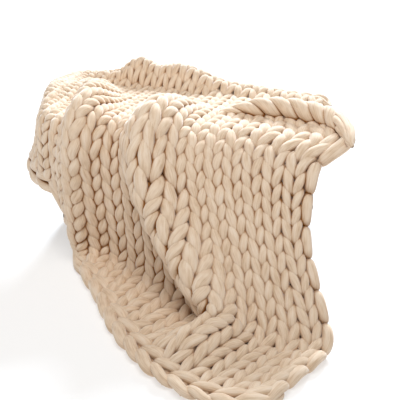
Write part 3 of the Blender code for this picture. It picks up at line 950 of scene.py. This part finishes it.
def bench_ring(inset):
    """Points round the bench in plan, the same number for every inset."""
    left, right = BENCH_LEFT + inset, BENCH_LEFT + BENCH_LENGTH - inset
    front, back = inset, BENCH_DEPTH - inset
    corner, radius = SQUARE_END - inset, ROUND_END - inset
    arcs = []
    for cx, cy, size, first, steps in (
        (right - corner, front + corner, corner, -90, 16),
        (right - corner, back - corner, corner, 0, 16),
        (left + radius, back - radius, radius, 90, 50),
        (left + radius, front + radius, radius, 180, 50),
    ):
        turn = np.radians(first + 90 * np.linspace(0, 1, steps))
        arcs.append(np.stack([cx + size * np.cos(turn), cy + size * np.sin(turn)], axis=-1))
    path = []
    for k, steps in enumerate((48, 58, 2, 58)):
        after = arcs[(k + 1) % 4][0]
        path.append(arcs[k])
        path.append(arcs[k][-1] + (after - arcs[k][-1]) * np.linspace(0, 1, steps)[1:-1, None])
    return np.concatenate(path)


def level_path(inset, height):
    """A path round the bench at one height."""
    ring = bench_ring(inset)
    return np.column_stack([ring, np.full(len(ring), height)])


def lay_weave(mesh, rows, along):
    """The cover's own directions for its weave: round the bench and up its profile, in metres."""
    count = len(along)
    points = np.array([v.co for v in mesh.vertices]).reshape(rows, count, 3)
    up = np.concatenate([[0.0], np.cumsum(np.linalg.norm(np.diff(points, axis=0), axis=-1).mean(axis=1))])
    round_it = np.append(along, along[-1] + along[1])
    corners = []
    for i in range(rows - 1):
        for j in range(count):
            corners += [(round_it[j], up[i], 0), (round_it[j + 1], up[i], 0)]
            corners += [(round_it[j + 1], up[i + 1], 0), (round_it[j], up[i + 1], 0)]
    corners += [(0, 0, 0)] * (2 * count)
    add_attribute(mesh, "weave", np.array(corners, float), "CORNER")


def cover_object(name, levels, top, finish):
    """A closed cover through (inset, height, pucker) levels round the bench, gathered at its seams."""
    along = lengths_along(bench_ring(0.0))
    gather = 0.5 + 0.5 * np.sin(2 * np.pi * along / PUCKER_PITCH + 1.6 * np.sin(11 * along))
    slack = COVER_SLACK + 0.0006 * np.sin(9 * along) + 0.0005 * np.sin(21 * along + 1.1)
    rings = []
    for inset, height, pucker in levels:
        ring = bench_ring(inset)
        inward = np.roll(ring, -1, axis=0) - np.roll(ring, 1, axis=0)
        inward = unit(np.stack([-inward[:, 1], inward[:, 0]], axis=-1))
        ring = ring + inward * (PUCKER * pucker * gather + slack)[:, None]
        rings.append(np.column_stack([ring, np.full(len(ring), height)]))
    edge = rings[-1]
    middle = edge.copy()
    middle[:, 0] = np.clip(middle[:, 0], BENCH_LEFT + ROUND_END, BENCH_LEFT + BENCH_LENGTH - ROUND_END)
    middle[:, 1] = BENCH_DEPTH / 2
    for part in (0.15, 0.35, 0.55, 0.75, 0.9, 0.985):
        ring = edge + (middle - edge) * part
        ring[:, 2] = edge[:, 2] + (top - edge[:, 2]) * (1 - (1 - part) ** 2)
        rings.append(ring)
    faces = ring_faces(len(rings), len(edge)) + end_caps(len(rings), len(edge))
    made = mesh_object(name, np.concatenate(rings), faces, finish)
    lay_weave(made.data, len(rings), along)
    return made


def tube(path, size, closed, sides=10):
    """Points and faces of a round cord along a path."""
    if closed:
        along = unit(np.roll(path, -1, axis=0) - np.roll(path, 1, axis=0))
    else:
        along = unit(np.gradient(path, axis=0))
    level = np.where(np.abs(along[:, 2:]) > 0.9, np.array([[1.0, 0, 0]]), np.array([[0, 0, 1.0]]))
    side = unit(np.cross(along, level))
    front = unit(np.cross(side, along))
    turn = (2 * np.pi * np.arange(sides) / sides)[None, :, None]
    ring = path[:, None] + size * (side[:, None] * np.cos(turn) + front[:, None] * np.sin(turn))
    faces = ring_faces(len(path), sides)
    if closed:
        last = (len(path) - 1) * sides
        faces += [[last + k, last + (k + 1) % sides, (k + 1) % sides, k] for k in range(sides)]
    else:
        faces += end_caps(len(path), sides)
    return ring.reshape(-1, 3), faces


def cords_object(name, cords, finish):
    """One object from (path, size, closed) cords."""
    points, faces, count = [], [], 0
    for path, size, closed in cords:
        ring, quads = tube(path, size, closed)
        points.append(ring)
        faces += [[v + count for v in quad] for quad in quads]
        count += len(ring)
    return mesh_object(name, np.concatenate(points), faces, finish)


def stitches_object(name, path, finish):
    """A row of short sewn stitches along a closed path."""
    closed = np.vstack([path, path[:1]])
    along = lengths_along(closed)
    cords = []
    for start in np.arange(0, along[-1] - STITCH_PITCH, STITCH_PITCH):
        run = read_path(start + STITCH_LENGTH * np.linspace(0, 1, 4), along, closed)
        cords.append((run, STITCH_ROUND, False))
    return cords_object(name, cords, finish)


def on_cushion_round(inset, degrees):
    """Inset and height of a place so far inside the cushion's rounded edge, at an angle up from its side."""
    reach = CUSHION_ROUND - inset
    angle = math.radians(degrees)
    return CUSHION_ROUND - reach * math.cos(angle), BENCH_TOP - CUSHION_ROUND + reach * math.sin(angle)


def cushion_cover(fabric, trim, thread):
    """The crowned cushion cover, with two piped, gathered seams and a row of stitches."""
    seam = BENCH_TOP - CUSHION_HEIGHT
    levels = [
        (0.014, seam + 0.0006, 0.0),
        (0.004, seam + 0.0012, 1.0),
        (COVER_INSET, seam + 0.008, 1.0),
        (COVER_INSET, seam + 0.016, 0.5),
        (COVER_INSET + COVER_HOLLOW, seam + 0.030, 0.1),
    ]
    for degrees, pucker in (
        (0, 0.1), (14, 0.3), (27, 0.6), (36, 1.0), (45, 1.6), (54, 1.0), (63, 0.6), (76, 0.3), (90, 0),
    ):
        levels.append((*on_cushion_round(COVER_INSET, degrees), pucker))
    cover = cover_object("cushion_cover", levels, BENCH_TOP - COVER_HOLLOW, fabric)
    upper = level_path(*on_cushion_round(PIPING, 45))
    lower = level_path(PIPING, seam + PIPING + 0.0005)
    piping = cords_object("cushion_piping", [(upper, PIPING, True), (lower, PIPING, True)], trim)
    row = level_path(*on_cushion_round(COVER_INSET + COVER_HOLLOW, 31))
    return cover, piping, stitches_object("cushion_stitches", row, thread)


def box_cover(fabric, trim):
    """The cover of the bench's box, piped along its foot and up its four seams."""
    low = PLINTH_HEIGHT + BOX_SEAM_GAP
    high = BENCH_TOP - CUSHION_HEIGHT - BOX_SEAM_GAP
    inset = BODY_INSET + 0.001
    levels = [
        (inset + 0.006, low, 0.0),
        (inset, low + 0.003, 1.0),
        (inset, low + 0.016, 0.7),
        (inset, low + 0.05, 0.1),
        (inset + 0.001, low + 0.15, 0.0),
        (inset, high - 0.05, 0.1),
        (inset, high - 0.016, 0.7),
        (inset, high - 0.003, 1.0),
        (inset + 0.006, high, 0.0),
    ]
    cover = cover_object("body_cover", levels, high, fabric)
    side = BODY_INSET + SIDE_PIPING * 0.6
    cords = [(level_path(side, low + SIDE_PIPING + 0.001), SIDE_PIPING, True)]
    heights = np.linspace(low + 0.002, high - 0.002, 12)
    for x in (BENCH_LEFT + ROUND_END, BENCH_LEFT + BENCH_LENGTH - SQUARE_END):
        for y in (side, BENCH_DEPTH - side):
            path = np.column_stack([np.full(12, x), np.full(12, y), heights])
            cords.append((path, SIDE_PIPING, False))
    return cover, cords_object("body_piping", cords, trim)


def add_to_scene(name, data, place=(0, 0, 0), aim=None):
    """An object in the scene, its -Z axis turned towards the aim where one is given."""
    made = bpy.data.objects.new(name, data)
    made.location = place
    if aim is not None:
        made.rotation_euler = aim.to_track_quat("-Z", "Y").to_euler()
    bpy.context.scene.collection.objects.link(made)
    return made


def set_stage():
    """A pale floor, soft light from above and behind, and a soft fill in front."""
    world = bpy.data.worlds.new("studio")
    bpy.context.scene.world = world
    world.use_nodes = True
    background = world.node_tree.nodes["Background"]
    background.inputs["Color"].default_value = (*STUDIO_COLOUR, 1.0)
    background.inputs["Strength"].default_value = STUDIO_LIGHT
    mesh = bpy.data.meshes.new("floor")
    corners = [(FLOOR_REACH * x, FLOOR_REACH * y, 0) for x, y in ((-1, -1), (1, -1), (1, 1), (-1, 1))]
    mesh.from_pydata(corners, [], [(0, 1, 2, 3)])
    floor = add_to_scene("floor", mesh)
    n = Nodes("pale_floor")
    n.shader.inputs["Base Color"].default_value = (*FLOOR_COLOUR, 1.0)
    n.shader.inputs["Roughness"].default_value = 0.9
    n.shader.inputs["Emission Color"].default_value = (*STUDIO_COLOUR, 1.0)
    n.shader.inputs["Emission Strength"].default_value = FLOOR_GLOW
    floor.data.materials.append(n.made)
    sun = bpy.data.lights.new("key", "SUN")
    sun.energy = KEY_POWER
    sun.angle = math.radians(KEY_SOFTNESS)
    sun.color = KEY_COLOUR
    add_to_scene("key", sun, aim=-Vector(KEY_FROM))
    panel = bpy.data.lights.new("fill", "AREA")
    panel.shape = "SQUARE"
    panel.size = FILL_WIDE
    panel.energy = FILL_POWER
    add_to_scene("fill", panel, FILL_AT, Vector(FILL_TOWARDS) - Vector(FILL_AT))


def set_camera():
    """The camera where the photo was taken from, aimed by its own turn and tilt."""
    yaw, pitch = math.radians(CAMERA_YAW), math.radians(CAMERA_PITCH)
    aim = Vector((-math.sin(yaw) * math.cos(pitch), math.cos(yaw) * math.cos(pitch), -math.sin(pitch)))
    data = bpy.data.cameras.new("camera")
    data.sensor_width = SENSOR_WIDTH
    data.lens = CAMERA_FOCAL_PX / IMAGE_PX * SENSOR_WIDTH
    bpy.context.scene.camera = add_to_scene("camera", data, CAMERA_AT, aim)


def main():
    rng = np.random.default_rng(SEED)
    cloth = Cloth()
    yarn = yarn_material("cream_roving")
    pieces = []
    for k, strands in enumerate(body_strands(cloth, rng)):
        pieces.append(strands.as_object(f"knit_rows_{k + 1}", yarn))
    pieces.append(edge_chain(cloth, CHAIN_COURSE, rng).as_object("hem_chain", yarn))
    pieces.append(edge_chain(cloth, COURSES - CHAIN_COURSE, rng).as_object("cast_off_chain", yarn))
    pieces.append(roll_strands(rng).as_object("rolled_selvedge", yarn))
    core = shaded_core_sheet(cloth, shaded_core_material("painted_shade_backs"))
    for piece in [core] + pieces:
        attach(piece, "root")
        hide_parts("blanket")
    fabric = woven_material("bench_weave", COVER_COLOUR, thread=0.0028, laid=True)
    trim = woven_material("piping_weave", PIPING_COLOUR, thread=0.0011)
    thread = woven_material("sewing_thread", THREAD_COLOUR, thread=0.0004)
    cushion, piping, stitches = cushion_cover(fabric, trim, thread)
    body, seams = box_cover(fabric, trim)
    for node, slot, covers in (
        ("bench_cushion", "bench_cloth", (cushion, piping, stitches)),
        ("bench_body", "bench_body_cloth", (body, seams)),
    ):
        for piece in covers:
            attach(piece, "root")
            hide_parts(node)
    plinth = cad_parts["bench_plinth"].data
    plinth.materials.clear()
    plinth.materials.append(wood_material("plinth_wood"))
    set_stage()
    set_camera()
    view = bpy.context.scene.view_settings
    view.view_transform = "Standard"


main()
